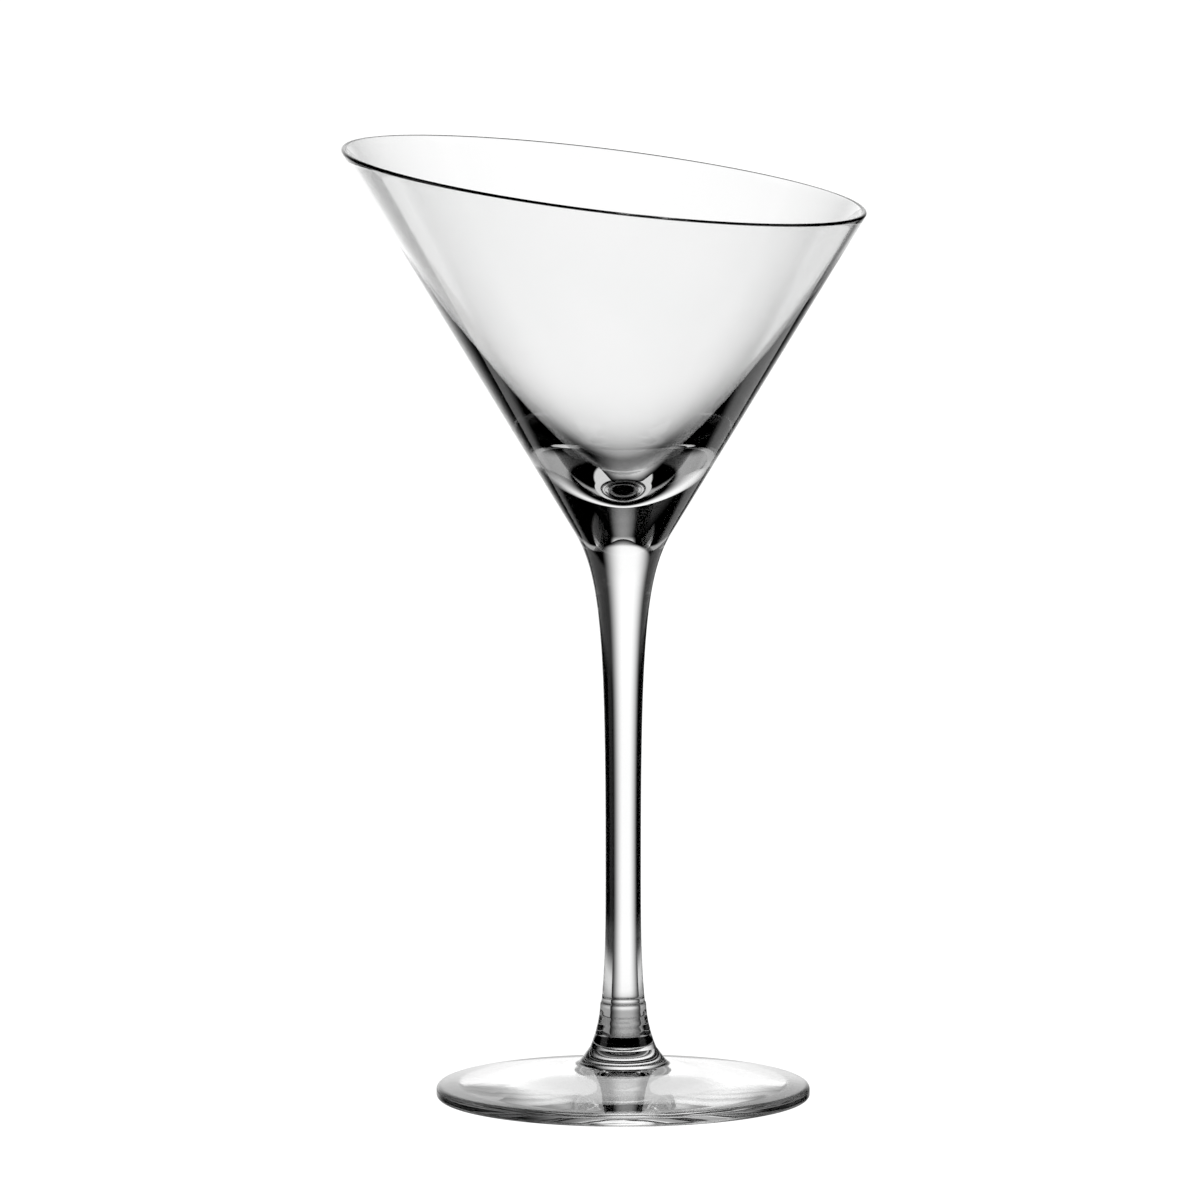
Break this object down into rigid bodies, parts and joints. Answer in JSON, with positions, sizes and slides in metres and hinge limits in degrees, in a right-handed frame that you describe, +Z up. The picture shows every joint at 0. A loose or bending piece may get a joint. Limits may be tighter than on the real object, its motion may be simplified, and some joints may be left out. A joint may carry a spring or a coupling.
{
  "type": "martini glass",
  "caption": "Stemmed cocktail glass with a thin conical bowl, slanted rim, thick bowl floor, slender flared stem and round foot.",
  "frame": {"origin": "centre of the standing plane, on the axis of the stem", "axes": "+Z up along the stem; the rim is high towards -X and low towards +X; the glass is the same on both sides of the XZ plane"},
  "size_m": [0.1121, 0.1118, 0.2049],
  "materials": {
    "clear_glass": "fire-polished, clear, colourless"
  },
  "bodies": {
    "root": {"bowl": "clear_glass", "stem": "clear_glass", "stem_collar": "clear_glass", "foot": "clear_glass"}
  },
  "joints": []
}
